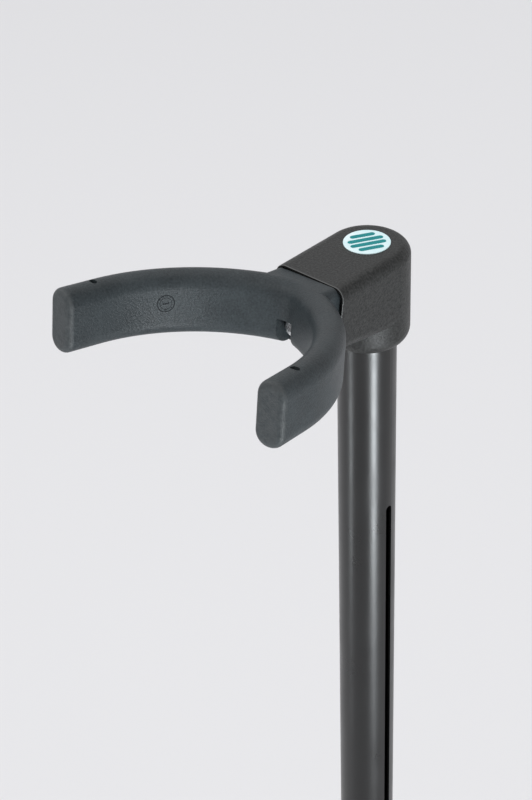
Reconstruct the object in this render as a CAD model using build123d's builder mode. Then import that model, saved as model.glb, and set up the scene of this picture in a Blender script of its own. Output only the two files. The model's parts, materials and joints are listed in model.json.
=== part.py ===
from build123d import *
import os
from math import cos, radians, sin, sqrt

# Instrument support stand, millimetres. The origin is on the floor under the column, +Z is up,
# and the support fork points to -Y. The clamp knobs point to +Y, and the tube's slot faces +X.

# ---- driving dimensions ----------------------------------------------------------------------
head_top = 940.0            # top face of the head with the column at its rest height
column_radius = 15.0        # upper tube, 30 mm outside
tube_wall = 1.5
outer_tube_radius = 17.5    # lower tube, 35 mm outside
slide_gap = 0.1             # radial clearance of the telescoping fits
body_gap = 0.3              # clearance between pieces of different bodies

fork_tilt = 9.0             # the fork rises by this angle towards its tips
fork_roll = 2.0             # the fork's block sits turned by this angle in its socket, +X side up
fork_shift = -0.3           # and this far sideways in it
fork_reach = 51.5           # column axis to the middle of the fork's root
fork_drop = 15.4            # head top down to the middle of the fork's root
fork_height = 32.0
fork_thick = 15.2
fork_round = 7.4            # rounding of the fork's top and bottom edges
tip_round = 3.2             # rounding of the arm ends
root_radius = 20.3          # centre line at the root of the U
root_sweep = 20.7
side_radius = 86.5          # flatter centre line at the sides of the U
arm_length = 21.8           # straight end of each arm
arm_splay = 8.0             # each arm opens outwards by this angle
tenon_half_width = 19.5     # root block that plugs into the head
tenon_depth = 30.0
tenon_top = 14.6
tenon_bottom = -13.4
tenon_gap = 1.0             # clearance of the block in the head's socket
shoulder_top = 15.9         # the block outside the head rises level with the fork's crown
shoulder_gap = 0.8          # shoulder to the head's rim
rim_bevel = 0.4
notch_width = 9.2           # screw notch in the fork's inner wall
notch_top = -2.5            # below the middle of the fork
notch_seat = 1.2            # screw seat behind the fork's centre line
screw_height = -7.4         # fork screw below the middle of the fork
screw_radius = 2.5

head_radius = 21.5
head_height = 53.4
head_edge = 6.0             # rounding of the head's top edge
collar_lip_radius = 15.9
collar_round = 8.0          # rounding from the head's wall into its collar
nose_reach = 41.6           # column axis to the nose rim at the head's top
nose_floor = -16.8          # underside of the nose below the middle of the fork
nose_round = 6.0
head_ceiling = 4.0
badge_radius = 11.6
badge_thick = 0.4

slot_width = 4.2
slot_top = head_top - 152.0
pin_height = 472.0          # guide pin that runs in the slot
travel_up = 20.0
pin_radius = 1.8
upper_tube_bottom = 376.0
glide_height = 12.0

outer_tube_bottom = 36.0
outer_tube_top = 478.0
clamp_bottom = 430.0
clamp_top = 492.0
clamp_radius = 24.0
clamp_height = 452.0        # axis of the upper clamp knob
rest_height = 168.0         # axis of the rest's clamp knob
rest_half_height = 18.0

hub_radius = 27.0
hub_bottom = 28.0
hub_top = 98.0
plate_thick = 6.0
pocket_height = 24.0        # gap between the hub's plates for the leg knuckles
pivot_reach = 44.0
pivot_radius = 4.0
lobe_radius = 15.0
leg_angles = {"front_left": 225, "front_right": 315, "rear_right": 45, "rear_left": 135}
leg_radius = 10.0
leg_slope = 6.0             # legs fall towards their feet by this angle
leg_start = 34.0            # pivot to the leg tube's inner end
leg_length = 235.0
foot_radius = 15.0

cup_reach = 106.0           # column axis to the middle of the rest cup
cup_radius = 45.0
cup_height = 26.0
cup_wall = 4.0

os.makedirs("parts", exist_ok=True)


def save(piece, name):
    """Labels a finished piece and writes it as its own STEP file."""
    piece.part.label = name
    export_step(piece.part, f"parts/{name}.step")


# ---- frames of the head's socket and of the fork ---------------------------------------------
# Local x is sideways, local -y runs forward along the fork, local z is the fork's own up.
tilt = radians(fork_tilt)
fork_origin = (0, -fork_reach, head_top - fork_drop)
socket_plane = Plane(origin=fork_origin, x_dir=(1, 0, 0), z_dir=(0, sin(tilt), cos(tilt)))
fork_plane = Plane(socket_plane.location * Location((fork_shift, 0, 0), (0, -fork_roll, 0)))


def in_fork(x, back, up):
    """A point given in the fork's frame, as a point in the stand's frame."""
    return fork_plane.from_local_coords(Vector(x, back, up))


def across(frame, back, up=0.0):
    """A plane square to this frame's length. Its x is sideways and it faces the head."""
    origin = frame.from_local_coords(Vector(0, back, up))
    return Plane(origin=origin, x_dir=frame.x_dir * -1, z_dir=frame.y_dir)


def side_centre(side):
    """Centre of the flatter arc on one side of the U, in the fork's frame."""
    spread = root_radius - side_radius
    return (side * spread * sin(radians(root_sweep)), -root_radius + spread * cos(radians(root_sweep)))


def arm_point(side, distance):
    """A point on an arm's centre line, this far beyond the end of the curved part."""
    centre = side_centre(side)
    splay = radians(arm_splay)
    x = centre[0] + side * (side_radius * cos(splay) + distance * sin(splay))
    y = centre[1] + side_radius * sin(splay) - distance * cos(splay)
    return (x, y)


def side_point(side, x):
    """The point on one flatter arc at this distance from the middle of the fork."""
    centre = side_centre(side)
    return (side * x, centre[1] + sqrt(side_radius**2 - (side * x - centre[0]) ** 2))


# ---- support fork ----------------------------------------------------------------------------
nose_rim = Vector(0, -nose_reach, head_top)
rim_back = socket_plane.to_local_coords(nose_rim).Y
side_sweep = 90 - arm_splay - root_sweep
left_tip = in_fork(*arm_point(-1, arm_length), 0)
right_tip = in_fork(*arm_point(1, arm_length), 0)
left_bend = in_fork(*arm_point(-1, 0), 0)

with BuildPart() as shoulder:
    with BuildSketch(fork_plane.offset(tenon_bottom)):
        with BuildLine():
            left_corner = (-tenon_half_width, rim_back - shoulder_gap)
            right_corner = (tenon_half_width, rim_back - shoulder_gap)
            left_front = side_point(-1, tenon_half_width)
            right_front = side_point(1, tenon_half_width)
            root_half = root_radius * sin(radians(root_sweep))
            ThreePointArc(left_front, side_point(-1, tenon_half_width / 2 + root_half / 2), side_point(-1, root_half))
            ThreePointArc(side_point(-1, root_half), (0, 0), side_point(1, root_half))
            ThreePointArc(side_point(1, root_half), side_point(1, tenon_half_width / 2 + root_half / 2), right_front)
            Polyline(right_front, right_corner, left_corner, left_front)
        make_face()
    extrude(amount=shoulder_top - tenon_bottom)
    side_edges = shoulder.edges().filter_by(lambda e: abs(e.tangent_at(0.5).dot(fork_plane.y_dir)) > 0.999)
    fillet(side_edges.filter_by(lambda e: fork_plane.to_local_coords(e.center()).Z > 0), 4.0)

with BuildPart() as support_fork:
    with BuildLine(fork_plane) as fork_path:
        Line(arm_point(-1, arm_length), arm_point(-1, 0))
        CenterArc(side_centre(-1), side_radius, 180 - arm_splay, -side_sweep)
        CenterArc((0, -root_radius), root_radius, 90 + root_sweep, -2 * root_sweep)
        CenterArc(side_centre(1), side_radius, 90 - root_sweep, -side_sweep)
        Line(arm_point(1, 0), arm_point(1, arm_length))
    with BuildSketch(Plane(origin=left_tip, x_dir=fork_plane.z_dir, z_dir=left_bend - left_tip)):
        RectangleRounded(fork_height, fork_thick, fork_round)
    sweep(path=fork_path.wires()[0])
    for tip in (left_tip, right_tip):
        end_face = support_fork.faces().sort_by_distance(tip)[0]
        fillet(end_face.edges(), tip_round)
    with BuildSketch(across(fork_plane, 0)) as tenon:
        with Locations((0, (tenon_top + tenon_bottom) / 2)):
            Rectangle(2 * tenon_half_width, tenon_top - tenon_bottom)
        fillet(tenon.vertices().group_by(Axis.Y)[-1], 4.0)
        fillet(tenon.vertices().group_by(Axis.Y)[0], 5.5)
    extrude(amount=tenon_depth)
    add(shoulder.part)
    notch_depth = fork_thick / 2 + 2 + notch_seat
    with BuildSketch(across(fork_plane, notch_seat, notch_top)) as notch:
        Rectangle(notch_width, fork_height, align=(Align.CENTER, Align.MAX))
    extrude(amount=-notch_depth, mode=Mode.SUBTRACT)
    with BuildSketch(across(fork_plane, notch_seat, screw_height)):
        Circle(screw_radius + 0.25)
    extrude(amount=tenon_depth, mode=Mode.SUBTRACT)
    for side in (-1, 1):
        hole_centre = in_fork(*arm_point(side, arm_length - 18.8), fork_height / 2)
        with BuildSketch(Plane(origin=hole_centre, x_dir=fork_plane.x_dir, z_dir=fork_plane.z_dir)):
            SlotOverall(4.8, 3.0, rotation=side * arm_splay)
        extrude(amount=-12.0, mode=Mode.SUBTRACT)
save(support_fork, "support_fork")

# ---- head that joins the fork to the column --------------------------------------------------
rim_bottom = socket_plane.from_local_coords(Vector(0, rim_back, nose_floor))
floor_back = socket_plane.from_local_coords(Vector(0, rim_back + 2 * nose_reach, nose_floor))
floor_slope = (floor_back.Z - rim_bottom.Z) / (floor_back.Y - rim_bottom.Y)
floor_at_axis = rim_bottom.Z - rim_bottom.Y * floor_slope
head_bottom = head_top - head_height

with BuildPart() as head_cap:
    with BuildSketch(Plane.YZ):
        with BuildLine():
            Polyline(
                (0, head_top),
                (nose_rim.Y, head_top),
                (rim_bottom.Y, rim_bottom.Z),
                (0, floor_at_axis),
                close=True,
            )
        make_face()
    extrude(amount=head_radius, both=True)
    under_edges = head_cap.edges().filter_by(lambda e: abs(abs(e.center().X) - head_radius) < 0.01)
    fillet(under_edges.sort_by(Axis.Z)[:2], nose_round)
    drop = sqrt(collar_round**2 - (collar_round - head_radius + collar_lip_radius) ** 2)
    with BuildSketch(Plane.XZ):
        with BuildLine():
            wall = Line((head_radius, head_top), (head_radius, head_bottom + drop))
            lip = (collar_lip_radius, head_bottom)
            RadiusArc(wall @ 1, lip, collar_round)
            Polyline(lip, (0, head_bottom), (0, head_top), (head_radius, head_top))
        make_face()
    revolve(axis=Axis.Z)
    top_edges = head_cap.edges().group_by(Axis.Z)[-1].sort_by(Axis.Y)
    fillet(top_edges[1:], head_edge)
    opening_half = tenon_half_width + tenon_gap
    opening_top = tenon_top + tenon_gap
    opening_bottom = tenon_bottom - tenon_gap
    with BuildSketch(across(socket_plane, rim_back - 1)) as opening:
        with Locations((0, (opening_top + opening_bottom) / 2)):
            Rectangle(2 * opening_half, opening_top - opening_bottom)
        fillet(opening.vertices().group_by(Axis.Y)[-1], 5.0)
        fillet(opening.vertices().group_by(Axis.Y)[0], 5.5)
    extrude(amount=tenon_depth - rim_back + 1, mode=Mode.SUBTRACT)
    rim_face = head_cap.faces().sort_by(Axis.Y)[0]
    chamfer(rim_face.outer_wire().edges(), rim_bevel)
    with BuildSketch(Plane.XY.offset(head_bottom)):
        Circle(column_radius + 0.05)
    extrude(amount=head_height - head_ceiling, mode=Mode.SUBTRACT)
    with BuildSketch(across(socket_plane, tenon_depth - 1, screw_height)):
        Circle(screw_radius + 0.25)
    extrude(amount=12, mode=Mode.SUBTRACT)
save(head_cap, "head_cap")

with BuildPart() as badge:
    with BuildSketch(Plane.XY.offset(head_top)):
        Circle(badge_radius)
    extrude(amount=badge_thick)
    fillet(badge.edges().group_by(Axis.Z)[-1], 0.15)
save(badge, "badge")

# ---- fork screw, its washer, nut and the plug it pulls on -------------------------------------
washer_thick = 1.0
screw_head_height = 3.3
nut_back = 47.0             # nut face behind the fork's centre line
nut_thick = 4.0
screw_length = nut_back + nut_thick + 2 - notch_seat

with BuildPart() as fork_washer:
    with BuildSketch(across(fork_plane, notch_seat, screw_height)):
        Circle(4.5)
        Circle(screw_radius + 0.15, mode=Mode.SUBTRACT)
    extrude(amount=-washer_thick)
save(fork_washer, "fork_washer")

with BuildPart() as fork_screw:
    with BuildSketch(across(fork_plane, notch_seat - washer_thick, screw_height)):
        Circle(4.25)
    extrude(amount=-screw_head_height)
    fillet(fork_screw.edges().group_by(Axis.Y)[0], 1.0)
    with BuildSketch(across(fork_plane, notch_seat - washer_thick - screw_head_height, screw_height)):
        RegularPolygon(radius=2.5 / sqrt(3) * 1.6, side_count=6)
    extrude(amount=2.0, mode=Mode.SUBTRACT)
    with BuildSketch(across(fork_plane, notch_seat - washer_thick, screw_height)):
        Circle(screw_radius)
    extrude(amount=screw_length + washer_thick)
    chamfer(fork_screw.edges().group_by(Axis.Y)[-1], 0.6)
save(fork_screw, "fork_screw")

with BuildPart() as fork_nut:
    with BuildSketch(across(fork_plane, nut_back, screw_height)):
        RegularPolygon(radius=8 / sqrt(3), side_count=6, rotation=30)
        Circle(screw_radius + 0.05, mode=Mode.SUBTRACT)
    extrude(amount=nut_thick)
save(fork_nut, "fork_nut")

tube_top = head_top - head_ceiling - 0.2
with BuildPart() as tube_plug:
    with BuildSketch(Plane.XY.offset(tube_top - 46)):
        Circle(column_radius - tube_wall - 0.05)
    extrude(amount=46)
    chamfer(tube_plug.edges().group_by(Axis.Z)[0], 1.0)
    with BuildSketch(across(fork_plane, nut_back - 0.1, screw_height)):
        Rectangle(8.4, 30, align=(Align.CENTER, Align.CENTER))
    extrude(amount=nut_thick + 0.2, mode=Mode.SUBTRACT)
    with BuildSketch(across(fork_plane, tenon_depth, screw_height)):
        Circle(screw_radius + 0.25)
    extrude(amount=40, mode=Mode.SUBTRACT)
save(tube_plug, "tube_plug")

# ---- upper tube with its long slot, and the glide at its lower end ----------------------------
slot_bottom = pin_height - travel_up - slot_width
slot_length = slot_top - slot_bottom

with BuildPart() as upper_tube:
    with BuildSketch(Plane.XY.offset(upper_tube_bottom)):
        Circle(column_radius)
        Circle(column_radius - tube_wall, mode=Mode.SUBTRACT)
    extrude(amount=tube_top - upper_tube_bottom)
    with BuildSketch(Plane.YZ.offset(column_radius / 2)):
        with Locations((0, (slot_top + slot_bottom) / 2)):
            SlotOverall(slot_length, slot_width, rotation=90)
    extrude(amount=column_radius, mode=Mode.SUBTRACT)
    with BuildSketch(across(fork_plane, tenon_depth, screw_height)):
        Circle(screw_radius + 0.25)
    extrude(amount=nut_back - tenon_depth, mode=Mode.SUBTRACT)
save(upper_tube, "upper_tube")

glide_radius = outer_tube_radius - tube_wall - slide_gap
with BuildPart() as tube_glide:
    with BuildSketch(Plane.XY.offset(upper_tube_bottom - glide_height)):
        Circle(glide_radius)
    extrude(amount=glide_height)
    fillet(tube_glide.edges().group_by(Axis.Z)[0], 1.0)
    with BuildSketch(Plane.XY.offset(upper_tube_bottom)):
        Circle(column_radius - tube_wall - 0.05)
    extrude(amount=18)
    with BuildSketch(Plane.XY.offset(upper_tube_bottom - glide_height)):
        Circle(10.5)
    extrude(amount=glide_height + 18, mode=Mode.SUBTRACT)
save(tube_glide, "tube_glide")

# ---- lower tube, its liner and the clamp collar ----------------------------------------------
pad_radius = 6.0
pad_bore = pad_radius + body_gap
liner_flange = 4.0
liner_bottom = clamp_bottom


def radial_plane(height, distance, toward="back"):
    """A plane square to +Y (or to +X for the pin side) at this height and distance from the axis."""
    if toward == "back":
        return Plane(origin=(0, distance, height), x_dir=(-1, 0, 0), z_dir=(0, 1, 0))
    return Plane(origin=(distance, 0, height), x_dir=(0, 1, 0), z_dir=(1, 0, 0))


with BuildPart() as lower_tube:
    with BuildSketch(Plane.XY.offset(outer_tube_bottom)):
        Circle(outer_tube_radius)
        Circle(outer_tube_radius - tube_wall, mode=Mode.SUBTRACT)
    extrude(amount=outer_tube_top - outer_tube_bottom)
    with BuildSketch(radial_plane(clamp_height, 0)):
        Circle(pad_bore)
    extrude(amount=30, mode=Mode.SUBTRACT)
    with BuildSketch(radial_plane(pin_height, 0, "side")):
        Circle(pin_radius + 0.05)
    extrude(amount=30, mode=Mode.SUBTRACT)
save(lower_tube, "lower_tube")

with BuildPart() as tube_liner:
    with BuildSketch(Plane.XY.offset(liner_bottom)):
        Circle(outer_tube_radius - tube_wall - 0.05)
    extrude(amount=outer_tube_top - liner_bottom)
    with BuildSketch(Plane.XY.offset(outer_tube_top)):
        Circle(outer_tube_radius)
    extrude(amount=liner_flange)
    with BuildSketch(Plane.XY.offset(liner_bottom)):
        Circle(column_radius + slide_gap)
    extrude(amount=outer_tube_top + liner_flange - liner_bottom, mode=Mode.SUBTRACT)
    with BuildSketch(radial_plane(clamp_height, 0)):
        Circle(pad_bore)
    extrude(amount=30, mode=Mode.SUBTRACT)
    with BuildSketch(radial_plane(pin_height, 0, "side")):
        Circle(pin_radius + 0.05)
    extrude(amount=30, mode=Mode.SUBTRACT)
save(tube_liner, "tube_liner")

stud_radius = 2.95          # M6 clamp screws
nut_width = 10.0
nut_pocket = 5.2
guide_length = 9.0          # pad guide bore outside the clamped tube
boss_length = 17.0          # clamped tube's surface to the boss's end face
boss_radius = 10.5


def clamp_body(height, bottom, top, bore_radius, outer_radius, tube_radius):
    """A round clamp body on the column with a boss, a pad guide and a nut pocket along +Y."""
    with BuildPart() as body:
        with BuildSketch(Plane.XY.offset(bottom)):
            Circle(outer_radius)
        extrude(amount=top - bottom)
        fillet(body.edges().filter_by(GeomType.CIRCLE), 2.0)
        with BuildSketch(radial_plane(height, 0)):
            Circle(boss_radius)
        extrude(amount=tube_radius + boss_length)
        fillet(body.edges().group_by(Axis.Y)[-1], 1.2)
        with BuildSketch(Plane.XY.offset(bottom)):
            Circle(bore_radius)
        extrude(amount=top - bottom, mode=Mode.SUBTRACT)
        with BuildSketch(radial_plane(height, 0)):
            Circle(pad_bore)
        extrude(amount=tube_radius + guide_length, mode=Mode.SUBTRACT)
        with BuildSketch(radial_plane(height, tube_radius + guide_length)):
            Circle(stud_radius + body_gap)
        extrude(amount=boss_length, mode=Mode.SUBTRACT)
        with BuildSketch(radial_plane(height, tube_radius + boss_length - nut_pocket)):
            RegularPolygon(radius=nut_width / sqrt(3), side_count=6)
        extrude(amount=nut_pocket, mode=Mode.SUBTRACT)
    return body


collar_body = clamp_body(
    clamp_height, clamp_bottom, clamp_top, outer_tube_radius + 0.05, clamp_radius, column_radius
)
# The collar's lip closes over the liner's flange and leaves the upper tube free.
with BuildPart() as clamp_collar:
    add(collar_body.part)
    with BuildSketch(Plane.XY.offset(outer_tube_top + liner_flange)):
        Circle(clamp_radius - 2.5)
        Circle(column_radius + body_gap, mode=Mode.SUBTRACT)
    extrude(amount=clamp_top - outer_tube_top - liner_flange)
    with BuildSketch(radial_plane(pin_height, 0, "side")):
        Circle(2.5)
    extrude(amount=clamp_radius + 5, mode=Mode.SUBTRACT)
save(clamp_collar, "clamp_collar")

with BuildPart() as guide_pin:
    with BuildSketch(radial_plane(pin_height, column_radius - tube_wall - 0.5, "side")):
        Circle(pin_radius)
    extrude(amount=outer_tube_radius - column_radius + tube_wall + 0.8)
    with BuildSketch(radial_plane(pin_height, outer_tube_radius + 0.1, "side")):
        Circle(2.45)
    extrude(amount=clamp_radius - outer_tube_radius - 0.6)
    with BuildSketch(radial_plane(pin_height, clamp_radius - 0.5, "side")):
        RegularPolygon(radius=1.45, side_count=6)
    extrude(amount=-2.5, mode=Mode.SUBTRACT)
save(guide_pin, "guide_pin")


def clamp_hardware(prefix, height, tube_radius):
    """The hex nut, pressure pad, stud and star knob of one clamp, all on a +Y axis."""
    with BuildPart() as nut:
        with BuildSketch(radial_plane(height, tube_radius + boss_length - nut_pocket + 0.05)):
            RegularPolygon(radius=nut_width / sqrt(3) - 0.06, side_count=6)
            Circle(stud_radius + 0.06, mode=Mode.SUBTRACT)
        extrude(amount=5.0)
    save(nut, f"{prefix}_nut")

    pad_start = tube_radius + body_gap
    with BuildPart() as pad:
        with BuildSketch(radial_plane(height, 0)):
            Circle(pad_radius)
        extrude(amount=pad_start + 6.4)
        with BuildSketch(Plane.XY.offset(height - 2 * pad_radius)):
            Circle(pad_start)
        extrude(amount=4 * pad_radius, mode=Mode.SUBTRACT)
        with BuildSketch(radial_plane(height, pad_start + 3.0)):
            Circle(stud_radius - 0.4)
        extrude(amount=6, mode=Mode.SUBTRACT)
    save(pad, f"{prefix}_pad")

    knob_start = tube_radius + boss_length + 2.5
    with BuildPart() as stud:
        with BuildSketch(radial_plane(height, pad_start + 3.3)):
            Circle(stud_radius - 0.45)
        extrude(amount=5)
        with BuildSketch(radial_plane(height, pad_start + 6.7)):
            Circle(stud_radius)
        extrude(amount=knob_start + 12 - pad_start - 6.7)
    save(stud, f"{prefix}_stud")

    with BuildPart() as knob:
        with BuildSketch(radial_plane(height, knob_start)):
            Circle(8.0)
        extrude(amount=4.0)
        with BuildSketch(radial_plane(height, knob_start + 3.0)):
            Circle(13.0)
            with PolarLocations(10.0, 5, start_angle=90):
                Circle(6.5)
        extrude(amount=13.0)
        fillet(knob.edges().group_by(Axis.Y)[-1], 2.0)
        with BuildSketch(radial_plane(height, knob_start)):
            Circle(stud_radius + 0.02)
        extrude(amount=12.2, mode=Mode.SUBTRACT)
    save(knob, f"{prefix}_knob")


clamp_hardware("clamp", clamp_height, column_radius)
clamp_hardware("rest", rest_height, outer_tube_radius)

# ---- rest: bracket, arm, cup and pad ---------------------------------------------------------
rest_bottom = rest_height - rest_half_height
rest_top = rest_height + rest_half_height
arm_width = 18.0
arm_thick = 5.0
arm_top = rest_height + arm_thick / 2
arm_root = outer_tube_radius + 4.5
bracket_nose = 46.0
screw_spacing = 12.0

rest_body = clamp_body(
    rest_height, rest_bottom, rest_top, outer_tube_radius + slide_gap, clamp_radius + 3, outer_tube_radius
)
with BuildPart() as rest_bracket:
    add(rest_body.part)
    with BuildSketch(Plane.XY.offset(rest_height - 11)):
        with Locations((0, -arm_root)):
            Rectangle(arm_width + 8, bracket_nose - arm_root, align=(Align.CENTER, Align.MAX))
    extrude(amount=22)
    nose_edges = rest_bracket.edges().filter_by(Axis.Z).sort_by(Axis.Y)[:2]
    fillet(nose_edges, 3.0)
    with BuildSketch(Plane.XY.offset(arm_top - arm_thick)):
        with Locations((0, -arm_root)):
            Rectangle(arm_width + 0.1, bracket_nose, align=(Align.CENTER, Align.MAX))
    extrude(amount=arm_thick + 0.1, mode=Mode.SUBTRACT)
    with BuildSketch(Plane.XY.offset(rest_height - 11)):
        with Locations((0, -34)):
            Circle(2.1)
    extrude(amount=22, mode=Mode.SUBTRACT)
save(rest_bracket, "rest_bracket")

with BuildPart() as rest_arm:
    with BuildSketch(Plane.XY.offset(arm_top - arm_thick)):
        with Locations((0, -arm_root - 0.2)):
            Rectangle(arm_width, cup_reach - arm_root + 12, align=(Align.CENTER, Align.MAX))
        with Locations((0, -cup_reach - 12)):
            Circle(arm_width / 2)
        with Locations((0, -34), (0, -cup_reach - screw_spacing), (0, -cup_reach + screw_spacing)):
            Circle(2.1, mode=Mode.SUBTRACT)
    extrude(amount=arm_thick)
save(rest_arm, "rest_arm")

with BuildPart() as rest_cup:
    with BuildSketch(Plane.XY.offset(arm_top)):
        with Locations((0, -cup_reach)):
            Circle(cup_radius)
    extrude(amount=cup_height, taper=-4)
    fillet(rest_cup.edges().group_by(Axis.Z)[0], 4.0)
    with BuildSketch(Plane.XY.offset(arm_top + cup_wall)):
        with Locations((0, -cup_reach)):
            Circle(cup_radius - cup_wall)
    extrude(amount=cup_height, taper=-4, mode=Mode.SUBTRACT)
    fillet(rest_cup.edges().group_by(Axis.Z)[-1], 1.5)
    with BuildSketch(Plane.XY.offset(arm_top)):
        with Locations((0, -cup_reach - screw_spacing), (0, -cup_reach + screw_spacing)):
            Circle(2.1)
    extrude(amount=cup_wall, mode=Mode.SUBTRACT)
save(rest_cup, "rest_cup")

with BuildPart() as cup_pad:
    with BuildSketch(Plane.XY.offset(arm_top + cup_wall)):
        with Locations((0, -cup_reach)):
            Circle(cup_radius - cup_wall - 0.2)
    extrude(amount=5.0)
    fillet(cup_pad.edges().group_by(Axis.Z)[-1], 1.5)
    with BuildSketch(Plane.XY.offset(arm_top + cup_wall)):
        with Locations((0, -cup_reach - screw_spacing), (0, -cup_reach + screw_spacing)):
            Circle(4.6)
    extrude(amount=3.0, mode=Mode.SUBTRACT)
save(cup_pad, "cup_pad")

with BuildPart() as rest_screws:
    for y in (-cup_reach - screw_spacing, -cup_reach + screw_spacing):
        with BuildSketch(Plane.XY.offset(arm_top + cup_wall)):
            with Locations((0, y)):
                Circle(4.0)
        extrude(amount=2.6)
        with BuildSketch(Plane.XY.offset(arm_top - arm_thick - 4)):
            with Locations((0, y)):
                Circle(2.0)
        extrude(amount=arm_thick + cup_wall + 4)
        with BuildSketch(Plane.XY.offset(arm_top - arm_thick - 3.4)):
            with Locations((0, y)):
                RegularPolygon(radius=7 / sqrt(3), side_count=6)
        extrude(amount=3.4)
save(rest_screws, "rest_screws")

with BuildPart() as bracket_bolt:
    with BuildSketch(Plane.XY.offset(rest_height + 11)):
        with Locations((0, -34)):
            Circle(3.8)
    extrude(amount=2.8)
    fillet(bracket_bolt.edges().group_by(Axis.Z)[-1], 1.0)
    with BuildSketch(Plane.XY.offset(rest_height - 14)):
        with Locations((0, -34)):
            Circle(2.0)
    extrude(amount=25)
    with BuildSketch(Plane.XY.offset(rest_height - 14.2)):
        with Locations((0, -34)):
            RegularPolygon(radius=7 / sqrt(3), side_count=6)
    extrude(amount=3.2)
save(bracket_bolt, "bracket_bolt")

# ---- base hub --------------------------------------------------------------------------------
pocket_bottom = hub_bottom + plate_thick
pocket_top = pocket_bottom + pocket_height
pivot_height = (pocket_bottom + pocket_top) / 2
lug_gap = 10.6
lug_thick = 3.4
lug_length = 8.0


def leg_frame(angle):
    """A leg's frame: x runs along the leg towards its foot, y is sideways, and z leans with it."""
    a, s = radians(angle), radians(leg_slope)
    origin = (pivot_reach * cos(a), pivot_reach * sin(a), pivot_height)
    along = (cos(a) * cos(s), sin(a) * cos(s), -sin(s))
    up = (cos(a) * sin(s), sin(a) * sin(s), cos(s))
    return Plane(origin=origin, x_dir=along, z_dir=up)


def pivot_points():
    """The plan positions of the four leg pivots."""
    angles = [radians(a) for a in leg_angles.values()]
    return [(pivot_reach * cos(a), pivot_reach * sin(a)) for a in angles]


def stop_lug(angle):
    """Where the lug that stops this leg sits: on the side away from the fold, beside the knuckle."""
    fold_side = 1 if angle in (45, 225) else -1
    a = radians(angle)
    along, aside = pivot_reach + 8, -fold_side * (lug_gap + lug_thick / 2)
    return Location((along * cos(a) - aside * sin(a), along * sin(a) + aside * cos(a)), angle)


with BuildPart() as base_hub:
    for bottom in (hub_bottom, pocket_top):
        with BuildSketch(Plane.XY.offset(bottom)):
            for angle in leg_angles.values():
                with Locations(Location((0, 0), angle)):
                    Rectangle(pivot_reach, 2 * lobe_radius, align=(Align.MIN, Align.CENTER))
                with Locations(stop_lug(angle)):
                    Rectangle(lug_length, lug_thick)
            with Locations(*pivot_points()):
                Circle(lobe_radius)
            Circle(hub_radius + 4)
        extrude(amount=plate_thick)
    with BuildSketch(Plane.XY.offset(hub_bottom)):
        for angle in leg_angles.values():
            with Locations(stop_lug(angle)):
                Rectangle(lug_length, lug_thick)
    extrude(amount=pocket_height + 2 * plate_thick)
    with BuildSketch(Plane.XY.offset(hub_bottom)):
        Circle(hub_radius)
    extrude(amount=hub_top - hub_bottom, taper=2)
    fillet(base_hub.edges().group_by(Axis.Z)[-1], 3.0)
    with BuildSketch(Plane.XY.offset(outer_tube_bottom)):
        Circle(outer_tube_radius + 0.05)
    extrude(amount=hub_top, mode=Mode.SUBTRACT)
    with BuildSketch(Plane.XY.offset(hub_bottom)):
        Circle(4.2)
    extrude(amount=20, mode=Mode.SUBTRACT)
    with BuildSketch(Plane.XY.offset(hub_bottom)):
        with Locations(*pivot_points()):
            Circle(pivot_radius + 0.05)
    extrude(amount=pocket_height + 2 * plate_thick, mode=Mode.SUBTRACT)
save(base_hub, "base_hub")

with BuildPart() as column_plug:
    with BuildSketch(Plane.XY.offset(outer_tube_bottom + 0.1)):
        Circle(outer_tube_radius - tube_wall - 0.05)
        Circle(3.95, mode=Mode.SUBTRACT)
    extrude(amount=11.5)
save(column_plug, "column_plug")

with BuildPart() as column_washer:
    with BuildSketch(Plane.XY.offset(hub_bottom - 1.6)):
        Circle(12.0)
        Circle(4.2, mode=Mode.SUBTRACT)
    extrude(amount=1.6)
save(column_washer, "column_washer")

with BuildPart() as column_bolt:
    with BuildSketch(Plane.XY.offset(hub_bottom - 1.6 - 5.3)):
        RegularPolygon(radius=13 / sqrt(3), side_count=6)
    extrude(amount=5.3)
    with BuildSketch(Plane.XY.offset(hub_bottom - 1.6)):
        Circle(3.9)
    extrude(amount=22)
save(column_bolt, "column_bolt")

with BuildPart() as leg_pins:
    for x, y in pivot_points():
        with BuildSketch(Plane.XY.offset(hub_bottom - 2.5)):
            with Locations((x, y)):
                Circle(7.0)
        extrude(amount=2.5)
        with BuildSketch(Plane.XY.offset(hub_bottom)):
            with Locations((x, y)):
                Circle(pivot_radius)
        extrude(amount=pocket_height + 2 * plate_thick + 5)
        with BuildSketch(Plane.XY.offset(pocket_top + plate_thick)):
            with Locations((x, y)):
                RegularPolygon(radius=13 / sqrt(3), side_count=6)
        extrude(amount=4.0)
save(leg_pins, "leg_pins")

# ---- four legs -------------------------------------------------------------------------------
knuckle_radius = 11.0
knuckle_height = pocket_height - 2 * body_gap
plug_radius = leg_radius - tube_wall - 0.05
sleeve_radius = leg_radius + 2.6
sleeve_length = 28.0

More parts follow.
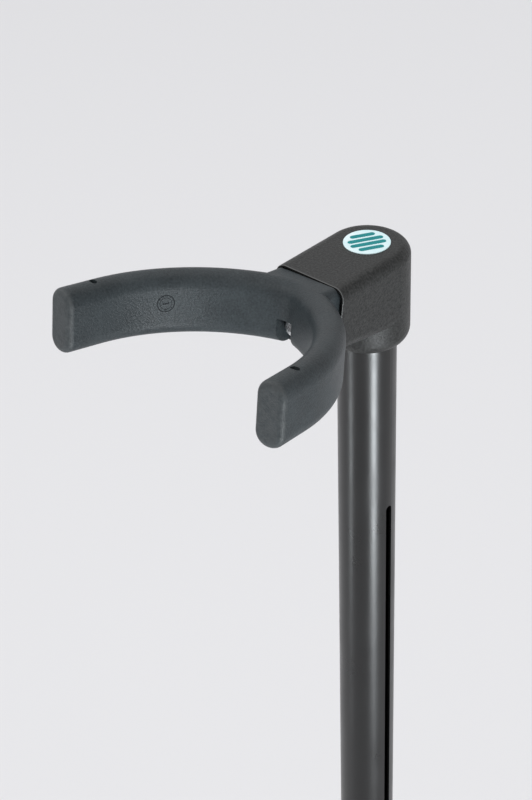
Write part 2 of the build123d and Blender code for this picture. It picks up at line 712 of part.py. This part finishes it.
for place, angle in leg_angles.items():
    frame = leg_frame(angle)
    flat = Plane(origin=frame.origin, x_dir=(cos(radians(angle)), sin(radians(angle)), 0), z_dir=(0, 0, 1))

    with BuildPart() as knuckle:
        with BuildSketch(flat.offset(-knuckle_height / 2)):
            Circle(knuckle_radius)
        extrude(amount=knuckle_height)
        with BuildSketch(Plane(origin=frame.origin, x_dir=frame.y_dir, z_dir=frame.x_dir)):
            Circle(leg_radius)
        extrude(amount=leg_start)
        with BuildSketch(
            Plane(origin=frame.from_local_coords(Vector(leg_start, 0, 0)), x_dir=frame.y_dir, z_dir=frame.x_dir)
        ):
            Circle(plug_radius)
        extrude(amount=24)
        with BuildSketch(flat.offset(-knuckle_height)):
            Circle(pivot_radius + 0.08)
        extrude(amount=2 * knuckle_height, mode=Mode.SUBTRACT)
    save(knuckle, f"knuckle_{place}")

    tube_start = frame.from_local_coords(Vector(leg_start + 0.1, 0, 0))
    with BuildPart() as leg:
        with BuildSketch(Plane(origin=tube_start, x_dir=frame.y_dir, z_dir=frame.x_dir)):
            Circle(leg_radius)
            Circle(leg_radius - tube_wall, mode=Mode.SUBTRACT)
        extrude(amount=leg_length)
    save(leg, f"leg_{place}")

    tube_end = frame.from_local_coords(Vector(leg_start + 0.1 + leg_length, 0, 0))
    end_plane = Plane(origin=tube_end, x_dir=frame.y_dir, z_dir=frame.x_dir)
    with BuildPart() as foot:
        with BuildSketch(end_plane.offset(-sleeve_length)):
            Circle(sleeve_radius)
        extrude(amount=sleeve_length + 4)
        fillet(foot.edges().filter_by(GeomType.CIRCLE), 1.5)
        with BuildSketch(Plane.XY):
            with Locations((tube_end.X, tube_end.Y)):
                Circle(foot_radius)
        extrude(amount=tube_end.Z - 2, taper=3)
        fillet(foot.edges().group_by(Axis.Z)[0], 1.5)
        with BuildSketch(end_plane):
            Circle(leg_radius + 0.05)
        extrude(amount=-sleeve_length, mode=Mode.SUBTRACT)
    save(foot, f"foot_{place}")
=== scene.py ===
import json
import math

import bmesh
import bpy
from mathutils import Matrix, Vector


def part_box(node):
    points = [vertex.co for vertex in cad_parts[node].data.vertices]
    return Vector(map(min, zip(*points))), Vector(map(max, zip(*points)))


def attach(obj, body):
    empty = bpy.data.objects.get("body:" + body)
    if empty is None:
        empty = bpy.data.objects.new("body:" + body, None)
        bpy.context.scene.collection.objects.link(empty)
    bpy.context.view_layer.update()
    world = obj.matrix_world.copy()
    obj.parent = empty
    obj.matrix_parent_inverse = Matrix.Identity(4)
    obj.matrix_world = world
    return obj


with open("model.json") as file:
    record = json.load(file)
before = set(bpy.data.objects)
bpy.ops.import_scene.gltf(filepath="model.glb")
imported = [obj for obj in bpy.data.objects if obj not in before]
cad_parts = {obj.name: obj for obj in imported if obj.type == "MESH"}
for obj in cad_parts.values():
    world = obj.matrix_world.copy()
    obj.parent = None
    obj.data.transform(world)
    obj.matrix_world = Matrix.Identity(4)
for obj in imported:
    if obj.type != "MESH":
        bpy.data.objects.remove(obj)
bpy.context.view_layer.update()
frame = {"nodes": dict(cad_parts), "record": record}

scene = bpy.context.scene
scene.view_settings.view_transform = "Standard"
nodes = frame["nodes"]
fork = nodes["support_fork"]

# ---- sizes read from the frame -----------------------------------------------------------------
head_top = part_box("head_cap")[1].z
badge_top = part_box("badge")[1].z
fork_low, fork_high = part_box("support_fork")


# ---- node helpers ------------------------------------------------------------------------------
class Nodes:
    """Short ways to add and join shader nodes in one material."""

    def __init__(self, name):
        self.material = bpy.data.materials.new(name)
        self.material.use_nodes = True
        self.tree = self.material.node_tree
        self.shader = self.tree.nodes["Principled BSDF"]
        self.place = self.add("ShaderNodeTexCoord").outputs["Object"]

    def add(self, kind, **values):
        node = self.tree.nodes.new(kind)
        for key, value in values.items():
            setattr(node, key, value)
        return node

    def join(self, source, target):
        self.tree.links.new(source, target)

    def feed(self, source, name):
        """Joins a source to one of the shader's sockets."""
        self.join(source, self.shader.inputs[name])

    def source(self, name):
        """What already feeds one of the shader's sockets."""
        return self.shader.inputs[name].links[0].from_socket

    def axis(self, name):
        """One coordinate of the point that is shaded."""
        axes = self.add("ShaderNodeSeparateXYZ")
        self.join(self.place, axes.inputs[0])
        return axes.outputs[name]

    def past(self, face):
        """How far a point lies past the plane of a flat face: 0 on it, and negative behind it."""
        along = self.add("ShaderNodeVectorMath", operation="DOT_PRODUCT")
        self.join(self.place, along.inputs[0])
        along.inputs[1].default_value = face.normal
        return self.math("SUBTRACT", along.outputs["Value"], face.normal.dot(face.center))

    def noise(self, scale, detail=4.0, rough=0.55):
        noise = self.add("ShaderNodeTexNoise")
        noise.inputs["Scale"].default_value = scale
        noise.inputs["Detail"].default_value = detail
        noise.inputs["Roughness"].default_value = rough
        self.join(self.place, noise.inputs["Vector"])
        return noise.outputs["Fac"]

    def span(self, value, low, high, to_low, to_high):
        """Maps low..high to to_low..to_high, and holds those ends beyond it."""
        node = self.add("ShaderNodeMapRange")
        numbers = (low, high, to_low, to_high)
        for key, number in zip(("From Min", "From Max", "To Min", "To Max"), numbers):
            node.inputs[key].default_value = number
        self.join(value, node.inputs["Value"])
        return node.outputs["Result"]

    def math(self, operation, a, b):
        node = self.add("ShaderNodeMath", operation=operation)
        for k, part in enumerate((a, b)):
            if isinstance(part, (int, float)):
                node.inputs[k].default_value = part
            else:
                self.join(part, node.inputs[k])
        return node.outputs["Value"]

    def mix(self, factor, a, b):
        """Blends two colours, each a tuple or a socket: a at factor 0, and b at factor 1."""
        node = self.add("ShaderNodeMix", data_type="RGBA")
        self.join(factor, node.inputs["Factor"])
        for key, part in (("A", a), ("B", b)):
            socket = [s for s in node.inputs if s.name == key and s.type == "RGBA"][0]
            if isinstance(part, tuple):
                socket.default_value = (*part, 1)
            else:
                self.join(part, socket)
        return [s for s in node.outputs if s.type == "RGBA"][0]

    def bump(self, height, strength, distance, normal=None):
        node = self.add("ShaderNodeBump")
        node.inputs["Strength"].default_value = strength
        node.inputs["Distance"].default_value = distance
        self.join(height, node.inputs["Height"])
        if normal is not None:
            self.join(normal, node.inputs["Normal"])
        return node.outputs["Normal"]


class SkyNodes(Nodes):
    """The same short ways for the world's shader, with directions in place of points."""

    def __init__(self, world):
        self.tree = world.node_tree
        self.shader = self.tree.nodes["Background"]
        self.place = self.add("ShaderNodeTexCoord").outputs["Generated"]


# ---- kinds of material -------------------------------------------------------------------------
def moulded(name, light, dark, rough, grain, depth, mottle=60, specular=0.5, fine=0.5):
    """Moulded plastic or rubber: spark-eroded grain, slow colour mottling and uneven sheen."""
    m = Nodes(name)
    slow = m.noise(mottle, 5.0, 0.6)
    grains = m.noise(grain, 3.0, 0.6)
    both = m.math("ADD", m.math("MULTIPLY", slow, 1 - fine), m.math("MULTIPLY", grains, fine))
    m.feed(m.mix(m.span(both, 0.36, 0.64, 0, 1), dark, light), "Base Color")
    m.feed(m.span(slow, 0.3, 0.7, rough - 0.05, rough + 0.07), "Roughness")
    m.shader.inputs["Specular IOR Level"].default_value = specular
    m.feed(m.bump(grains, 0.6, depth), "Normal")
    return m


def coated(name, light, dark, rough, peel=0.00005, specular=0.5):
    """Semi-gloss powder coat: orange peel, faint dust and slightly uneven gloss."""
    m = Nodes(name)
    slow = m.noise(45, 4.0, 0.6)
    peel_waves = m.noise(650, 2.0, 0.5)
    specks = m.noise(2600, 2.0, 0.5)
    m.feed(m.mix(m.span(specks, 0.6, 0.75, 0, 1), dark, light), "Base Color")
    m.feed(m.span(slow, 0.3, 0.7, rough - 0.04, rough + 0.05), "Roughness")
    m.shader.inputs["Specular IOR Level"].default_value = specular
    m.feed(m.bump(peel_waves, 0.5, peel), "Normal")
    return m


def plated(name, colour, rough):
    """Bright zinc plate with a fine satin grain and a few dull spots."""
    m = Nodes(name)
    satin = m.noise(900, 3.0, 0.6)
    spots = m.noise(260, 3.0, 0.6)
    dull = tuple(c * 0.78 for c in colour)
    m.feed(m.mix(m.span(spots, 0.4, 0.62, 0, 1), colour, dull), "Base Color")
    m.feed(m.span(satin, 0.3, 0.7, rough - 0.07, rough + 0.10), "Roughness")
    m.shader.inputs["Metallic"].default_value = 1.0
    m.feed(m.bump(satin, 0.35, 0.00003), "Normal")
    return m


def lacquered(name, light, dark, rough_low, rough_high, cloud, detail):
    """Smooth lacquer or print, a little cloudy in colour and gloss."""
    m = Nodes(name)
    clouds = m.noise(cloud, detail)
    m.feed(m.mix(m.span(clouds, 0.35, 0.65, 0, 1), dark, light), "Base Color")
    m.feed(m.span(clouds, 0.3, 0.7, rough_low, rough_high), "Roughness")
    return m


# ---- materials: colours are linear, lengths are metres -----------------------------------------
SLATE = {"light": (0.037, 0.046, 0.050), "dark": (0.014, 0.0185, 0.021)}
fork_look = moulded(
    "fork_plastic_look", **SLATE, rough=0.45, grain=1000, depth=0.00045, mottle=42, specular=0.28
)
cup_look = moulded(
    "cup_plastic_look", **SLATE, rough=0.47, grain=1000, depth=0.00045, mottle=42, specular=0.28
)
head_look = moulded(
    "head_plastic_look",
    light=(0.031, 0.032, 0.031),
    dark=(0.0040, 0.0043, 0.0040),
    rough=0.45,
    grain=950,
    depth=0.00042,
    mottle=55,
    specular=0.33,
    fine=0.8,
)
collar_look = moulded(
    "collar_plastic_look",
    light=(0.034, 0.035, 0.036),
    dark=(0.022, 0.023, 0.024),
    rough=0.50,
    grain=1300,
    depth=0.00010,
)
knob_look = moulded(
    "knob_plastic_look",
    light=(0.026, 0.027, 0.028),
    dark=(0.016, 0.017, 0.018),
    rough=0.46,
    grain=1500,
    depth=0.00008,
)
nylon_look = moulded(
    "nylon_black_look",
    light=(0.020, 0.020, 0.021),
    dark=(0.012, 0.012, 0.013),
    rough=0.42,
    grain=900,
    depth=0.00005,
)
rubber_look = moulded(
    "foot_rubber_look",
    light=(0.024, 0.024, 0.024),
    dark=(0.014, 0.014, 0.014),
    rough=0.68,
    grain=1400,
    depth=0.00010,
    specular=0.35,
)
foam_look = moulded(
    "pad_foam_look",
    light=(0.036, 0.038, 0.040),
    dark=(0.020, 0.021, 0.022),
    rough=0.82,
    grain=1900,
    depth=0.00022,
    specular=0.25,
)
mark_look = moulded(
    "mould_mark_look",
    light=(0.015, 0.019, 0.021),
    dark=(0.004, 0.005, 0.006),
    rough=0.6,
    grain=2600,
    depth=0.00010,
    mottle=420,
    specular=0.12,
)
tube_look = coated(
    "tube_black_look", (0.011, 0.011, 0.011), (0.0030, 0.0030, 0.0031), rough=0.31, specular=0.50
)
leg_look = coated("leg_black_look", (0.016, 0.016, 0.016), (0.0075, 0.0075, 0.0078), rough=0.32)
hub_look = coated(
    "hub_casting_look", (0.028, 0.028, 0.029), (0.015, 0.015, 0.016), rough=0.42, peel=0.00012
)
arm_look = coated("arm_steel_look", (0.024, 0.024, 0.025), (0.013, 0.013, 0.014), rough=0.36)
zinc_look = plated("zinc_steel_look", (0.72, 0.72, 0.73), rough=0.26)
badge_look = lacquered(
    "badge_face_look",
    light=(0.74, 0.88, 0.90),
    dark=(0.60, 0.80, 0.83),
    rough_low=0.20,
    rough_high=0.30,
    cloud=110,
    detail=2.0,
)
print_look = lacquered(
    "badge_print_look",
    light=(0.003, 0.24, 0.25),
    dark=(0.001, 0.19, 0.20),
    rough_low=0.28,
    rough_high=0.40,
    cloud=900,
    detail=3.0,
)
print_look.shader.inputs["Specular IOR Level"].default_value = 0.15

# the head's mouth has a pale painted highlight along its edge, round a flat face in near-black
# painted shade that is also made rougher
FACING_FRONT = -0.95            # a face looks forwards where its normal's y is below this
mouths = [f for f in nodes["head_cap"].data.polygons if f.normal.y < FACING_FRONT]
past_mouth = head_look.past(max(mouths, key=lambda f: f.normal.dot(f.center)))
# painted highlight: a pale band over the bevel just behind the mouth's front plane
mouth_painted_highlight = head_look.span(past_mouth, -0.0004, -0.0002, 0, 1)
# painted shade: the flat mouth face itself turns near black
mouth_painted_shade = head_look.span(past_mouth, -0.00010, -0.00004, 0, 1)
head_with_painted_highlight = head_look.mix(mouth_painted_highlight, head_look.source("Base Color"), (0.105, 0.108, 0.106))
head_look.feed(head_look.mix(mouth_painted_shade, head_with_painted_highlight, (0.0005, 0.0005, 0.0005)), "Base Color")
dull_face = head_look.math("MULTIPLY", mouth_painted_shade, 0.9)
head_look.feed(head_look.math("MAXIMUM", head_look.source("Roughness"), dull_face), "Roughness")

# painted light on the fork's two ends: their end faces are painted paler, a little more along their
# rounded edges as a painted highlight, broken up by noise
PAINTED_END_LIGHT = (0.068, 0.073, 0.074)
ends = [f for f in fork.data.polygons if f.normal.y < FACING_FRONT]
painted_light_breakup = fork_look.span(fork_look.noise(320, 4.0, 0.6), 0.35, 0.6, 0.45, 1)
for side in (-1, 1):
    end = max((f for f in ends if f.center.x * side > 0), key=lambda f: f.area)
    past_end = fork_look.past(end)
    # painted light: paler over the end face, and a painted highlight on the band round its edges
    painted_face_light = fork_look.span(past_end, -0.0034, -0.0006, 0, 0.50)
    edge_in = fork_look.span(past_end, -0.0036, -0.0012, 0, 0.72)
    edge_out = fork_look.span(past_end, -0.0012, 0, 1, 0)
    painted_edge_highlight = fork_look.math("MULTIPLY", edge_in, edge_out)
    painted_end_light = fork_look.math("MULTIPLY", fork_look.math("MAXIMUM", painted_face_light, painted_edge_highlight), painted_light_breakup)
    fork_look.feed(fork_look.mix(painted_end_light, fork_look.source("Base Color"), PAINTED_END_LIGHT), "Base Color")

# fine moulded rings go round the lower part of each foot
RING_PITCH = 0.0024
foot_up = rubber_look.axis("Z")
ring_turns = rubber_look.math("MULTIPLY", foot_up, 2 * math.pi / RING_PITCH)
ring_fade = rubber_look.span(foot_up, 0.010, 0.012, 1, 0)
ring_height = rubber_look.math("MULTIPLY", rubber_look.math("SINE", ring_turns, 0), ring_fade)
rubber_look.feed(rubber_look.bump(ring_height, 0.8, 0.0004, rubber_look.source("Normal")), "Normal")

LOOKS = {
    "fork_plastic": fork_look,
    "head_plastic": head_look,
    "badge_face": badge_look,
    "zinc_steel": zinc_look,
    "tube_black": tube_look,
    "leg_black": leg_look,
    "nylon_black": nylon_look,
    "collar_plastic": collar_look,
    "knob_plastic": knob_look,
    "hub_casting": hub_look,
    "arm_steel": arm_look,
    "cup_plastic": cup_look,
    "pad_foam": foam_look,
    "foot_rubber": rubber_look,
}
for part in frame["record"]["subparts"]:
    piece = nodes[part["node"]]
    piece.data.materials.clear()
    piece.data.materials.append(LOOKS[part["material_slot"]].material)


# ---- piece helpers -----------------------------------------------------------------------------
SHARP_ANGLE = math.radians(38)  # edges that turn more than this stay sharp


def mesh_piece(name, bm, look, body, smooth=True):
    """Turns a bmesh in the row frame into a finished piece that rides on a body."""
    bmesh.ops.recalc_face_normals(bm, faces=bm.faces)
    data = bpy.data.meshes.new(name)
    bm.to_mesh(data)
    bm.free()
    data.materials.append(look.material)
    if smooth:
        data.shade_smooth()
        data.set_sharp_from_angle(angle=SHARP_ANGLE)
    piece = bpy.data.objects.new(name, data)
    scene.collection.objects.link(piece)
    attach(piece, body)


def round_angles(count):
    return [2 * math.pi * k / count for k in range(count)]


def skin_ring(bm, loops):
    """Closes a ring of sections, each a closed loop of points, into one tube of faces."""
    sections = [[bm.verts.new(point) for point in loop] for loop in loops]
    for here, after in zip(sections, sections[1:] + sections[:1]):
        for j in range(len(here)):
            i = (j + 1) % len(here)
            bm.faces.new((here[j], after[j], after[i], here[i]))


def turned(bm, matrix, profile, count):
    """A turned button with a closed back: profile is (radius, height), from the axis outwards."""
    crown = bm.verts.new(matrix @ Vector((0, 0, profile[0][1])))
    loops = []
    for r, h in profile[1:]:
        points = [Vector((r * math.cos(a), r * math.sin(a), h)) for a in round_angles(count)]
        loops.append([bm.verts.new(matrix @ point) for point in points])
    for k in range(count):
        j = (k + 1) % count
        bm.faces.new((crown, loops[0][k], loops[0][j]))
        for inner, outer in zip(loops, loops[1:]):
            bm.faces.new((inner[k], outer[k], outer[j], inner[j]))
    bm.faces.new(loops[-1][::-1])


def raised_bar(bm, start, end, half_width, bottom, top, steps=6):
    """A flat bar with round ends, lying between two heights."""
    along = (end - start).normalized()
    outline = []
    for centre, direction in ((end, along), (start, -along)):
        across = Vector((-direction.y, direction.x))
        for k in range(steps + 1):
            angle = -math.pi / 2 + math.pi * k / steps
            way = math.cos(angle) * direction + math.sin(angle) * across
            outline.append(centre + half_width * way)
    low = [bm.verts.new((p.x, p.y, bottom)) for p in outline]
    high = [bm.verts.new((p.x, p.y, top)) for p in outline]
    bm.faces.new(high)
    bm.faces.new(low[::-1])
    for k in range(len(outline)):
        j = (k + 1) % len(outline)
        bm.faces.new((low[k], low[j], high[j], high[k]))


# ---- badge print: four slanted bars, the outer two shorter -------------------------------------
BARS = ((-0.0064, 0.0050), (-0.0021, 0.0077), (0.0021, 0.0077), (0.0064, 0.0050))
BAR_HALF_WIDTH = 0.00145
BAR_LEAN = Vector((0.5, 0.866))
BAR_ACROSS = Vector((0.866, -0.5))
bar_bottom, bar_top = badge_top - 0.00005, badge_top + 0.00006
bm = bmesh.new()
for offset, half_length in BARS:
    middle = BAR_ACROSS * offset
    reach = BAR_LEAN * half_length
    raised_bar(bm, middle - reach, middle + reach, BAR_HALF_WIDTH, bar_bottom, bar_top)
mesh_piece("badge_print", bm, print_look, "mast", smooth=False)

# ---- mould mark: a small date insert in the inner wall of the arm on the -X side ---------------
MARK_REACH = 0.645              # how far out along the fork's reach the mark lies
MARK_RADIUS = 0.0045
MARK_SUNK = -0.0002             # how far the rings' edges sink into the wall
MARK_LIFT = 0.00006             # how far the rings stand proud of it
MARK_BEVEL = 0.0001             # width of the bevel on each of their edges
MARK_CAST = 0.004               # how far off the wall the rays that lay them on it start
mark_start = Vector((0, fork_low.y * MARK_REACH, (fork_low.z + fork_high.z) / 2))
_, mark_place, mark_normal, _ = fork.ray_cast(mark_start, Vector((-1, 0, 0)))
mark_turn = mark_normal.to_track_quat("Z", "Y").to_matrix().to_4x4()
mark_frame = Matrix.Translation(mark_place) @ mark_turn


def on_wall(spot, lift):
    """A point of the mark laid onto the curved wall, this far proud of it."""
    start = mark_frame @ Vector((spot.x, spot.y, MARK_CAST))
    _, place, _, _ = fork.ray_cast(start, -mark_normal)
    return place + lift * mark_normal


def wall_ring(bm, centre, inner, outer, lift, count):
    """A low ring on the wall, with its edges sunk into it."""
    levels = (
        (inner, MARK_SUNK),
        (inner + MARK_BEVEL, lift),
        (outer - MARK_BEVEL, lift),
        (outer, MARK_SUNK),
    )
    ways = [Vector((math.cos(angle), math.sin(angle))) for angle in round_angles(count)]
    skin_ring(bm, [[on_wall(centre + r * way, h) for r, h in levels] for way in ways])


bm = bmesh.new()
middle = Vector((0, 0))
wall_ring(bm, middle, MARK_RADIUS - 0.0006, MARK_RADIUS, MARK_LIFT, count=44)
wall_ring(bm, middle, MARK_RADIUS - 0.0018, MARK_RADIUS - 0.0014, MARK_LIFT, count=40)
for offset in (-0.0011, 0, 0.0011):
    wall_ring(bm, Vector((offset, 0)), 0.0001, 0.00055, 0.00010, count=12)
for spoke in range(15, 375, 30):
    way = Vector((math.cos(math.radians(spoke)), math.sin(math.radians(spoke))))
    wall_ring(bm, way * (MARK_RADIUS - 0.0009), 0.00005, 0.00028, MARK_LIFT, count=8)
mesh_piece("mould_mark", bm, mark_look, "mast")

# ---- knob caps: a domed button with a rolled edge in each star knob's outer face ---------------
CAP_PROFILE = (
    (0, 0.0010),
    (0.0018, 0.00096),
    (0.0033, 0.00074),
    (0.0041, 0.00022),
    (0.0045, 0.00022),
    (0.0049, 0.00055),
    (0.0056, 0.00055),
    (0.0060, 0.00020),
    (0.0062, -0.0004),
)
for name in ("clamp", "rest"):
    knob_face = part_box(name + "_knob")[1].y
    stud_low, stud_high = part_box(name + "_stud")
    place = Vector(((stud_low.x + stud_high.x) / 2, knob_face, (stud_low.z + stud_high.z) / 2))
    bm = bmesh.new()
    facing = Matrix.Translation(place) @ Matrix.Rotation(-math.pi / 2, 4, "X")
    turned(bm, facing, CAP_PROFILE, count=40)
    mesh_piece(name + "_knob_cap", bm, nylon_look, name + "_handle")

# ---- cup bead: a rounded bead that stiffens the rest cup's wall under its rim ------------------
BEAD_DROP = 0.0042              # rim to the middle of the bead
BEAD = 0.0011                   # half height of the bead
BEAD_DEPTH = BEAD * 0.8
BEAD_SUNK = 0.0002              # how far its edges sink into the wall
BEAD_STEPS = 8
BEAD_COUNT = 96
BEAD_CAST = 0.08                # how far out the rays that find the wall start
cup_low, cup_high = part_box("rest_cup")
cup_middle = (cup_low + cup_high) / 2
bead_centre = Vector((cup_middle.x, cup_middle.y, cup_high.z - BEAD_DROP))
leans = [math.pi * (step / BEAD_STEPS - 0.5) for step in range(BEAD_STEPS + 1)]
loops = []
for angle in round_angles(BEAD_COUNT):
    outward = Vector((math.cos(angle), math.sin(angle), 0))
    _, wall, _, _ = nodes["rest_cup"].ray_cast(bead_centre + outward * BEAD_CAST, -outward)
    depths = [outward * (BEAD_DEPTH * math.cos(lean) - BEAD_SUNK) for lean in leans]
    heights = [Vector((0, 0, BEAD * math.sin(lean))) for lean in leans]
    loops.append([wall + depth + height for depth, height in zip(depths, heights)])
bm = bmesh.new()
skin_ring(bm, loops)
mesh_piece("cup_bead", bm, cup_look, "rest")

# ---- camera ------------------------------------------------------------------------------------
CAMERA_DISTANCE = 0.9002        # column axis to the camera, level
CAMERA_RISE = 0.5168            # above the head's top face
CAMERA_AROUND = math.radians(40.2)
CAMERA_PITCH = math.radians(34.03)
CAMERA_YAW = math.radians(3.26)
CAMERA_ROLL = math.radians(-1.821)
camera_data = bpy.data.cameras.new("camera")
camera = bpy.data.objects.new("camera", camera_data)
scene.collection.objects.link(camera)
scene.camera = camera
camera_data.sensor_width = 36.0
camera_data.lens = 96.2
camera_data.clip_start = 0.01
camera_data.clip_end = 50.0
forward = Vector(
    (
        -math.sin(CAMERA_YAW) * math.cos(CAMERA_PITCH),
        math.cos(CAMERA_YAW) * math.cos(CAMERA_PITCH),
        -math.sin(CAMERA_PITCH),
    )
)
level = Vector((math.cos(CAMERA_YAW), math.sin(CAMERA_YAW), 0))
upright = level.cross(forward)
right = math.cos(CAMERA_ROLL) * level + math.sin(CAMERA_ROLL) * upright
up = -math.sin(CAMERA_ROLL) * level + math.cos(CAMERA_ROLL) * upright
turn = Matrix.Rotation(CAMERA_AROUND, 4, "Z")
axes = Matrix((right, up, -forward)).transposed().to_4x4()
stand = Matrix.Translation((0, -CAMERA_DISTANCE, head_top + CAMERA_RISE))
camera.matrix_world = turn @ stand @ axes

# ---- floor -------------------------------------------------------------------------------------
FLOOR_RADIUS = 45.0             # wide enough to fill every view up to the horizon
FLOOR_DROP = 0.0005             # a hair below the feet, so that no faces coincide
bm = bmesh.new()
bmesh.ops.create_circle(bm, cap_ends=True, segments=64, radius=FLOOR_RADIUS)
floor_data = bpy.data.meshes.new("floor")
bm.to_mesh(floor_data)
bm.free()
floor = bpy.data.objects.new("floor", floor_data)
scene.collection.objects.link(floor)
floor.location.z = -FLOOR_DROP
floor_look = Nodes("floor_look")
floor_look.shader.inputs["Base Color"].default_value = (0.80, 0.80, 0.81, 1)
floor_look.shader.inputs["Roughness"].default_value = 0.9
floor_look.shader.inputs["Specular IOR Level"].default_value = 0.1
floor_data.materials.append(floor_look.material)

# ---- sky ---------------------------------------------------------------------------------------
# it starts as bright as the far floor, so that level views show no hard horizon, and higher up
# it is brighter on the side that the fork's ends face
SKY_LOW = 0.70
SKY_HIGH = 0.88
SKY_LEAN = 0.55                 # how much brighter the upper sky is on that side
world = bpy.data.worlds.new("studio")
scene.world = world
world.use_nodes = True
sky = SkyNodes(world)
sky.shader.inputs["Color"].default_value = (0.985, 0.985, 1.0, 1)
sky_rise = sky.span(sky.axis("Z"), 0.0, 0.22, SKY_LOW, SKY_HIGH)
sky_side = sky.math("MULTIPLY", sky.math("ADD", sky.axis("X"), sky.axis("Y")), -SKY_LEAN)
sky_upper = sky.span(sky.axis("Z"), 0.25, 0.5, 0, 1)
sky_gain = sky.math("ADD", sky.math("MULTIPLY", sky_side, sky_upper), 1.0)
sky.feed(sky.math("MULTIPLY", sky_rise, sky_gain), "Strength")

# ---- lights ------------------------------------------------------------------------------------
head_point = Vector((0, 0, head_top))
strip_aim = head_point - Vector((0, 0, 0.05))


def softbox(name, around, rise, distance, size, power, aim=head_point, spread=180):
    """An area light at an angle round the column from the camera's side, facing its aim."""
    angle = CAMERA_AROUND + math.radians(around)
    level_distance = distance * math.cos(math.radians(rise))
    data = bpy.data.lights.new(name, "AREA")
    data.shape = "RECTANGLE"
    data.size, data.size_y = size
    data.energy = power
    data.spread = math.radians(spread)
    lamp = bpy.data.objects.new(name, data)
    lamp.location = aim + Vector(
        (
            math.sin(angle) * level_distance,
            -math.cos(angle) * level_distance,
            distance * math.sin(math.radians(rise)),
        )
    )
    lamp.rotation_mode = "QUATERNION"
    lamp.rotation_quaternion = (aim - lamp.location).to_track_quat("-Z", "Y")
    lamp.visible_camera = False
    scene.collection.objects.link(lamp)
    return lamp


softbox("key", around=27, rise=28, distance=2.4, size=(0.5, 1.6), power=2.5)
softbox("fill", around=-74, rise=50, distance=2.2, size=(0.5, 1.2), power=6.8)
softbox("top", around=150, rise=68, distance=2.6, size=(1.1, 1.1), power=10.0)
# two cool strips below the head draw the long highlights down the tube
low_strip = softbox(
    "low_strip",
    around=27,
    rise=-30,
    distance=1.25,
    size=(0.31, 0.46),
    power=1.60,
    aim=strip_aim,
    spread=60,
)
side_strip = softbox(
    "side_strip",
    around=-64,
    rise=-31,
    distance=1.25,
    size=(0.18, 0.42),
    power=0.22,
    aim=strip_aim,
    spread=60,
)
for strip in (low_strip, side_strip):
    strip.data.color = (0.91, 0.965, 1.0)
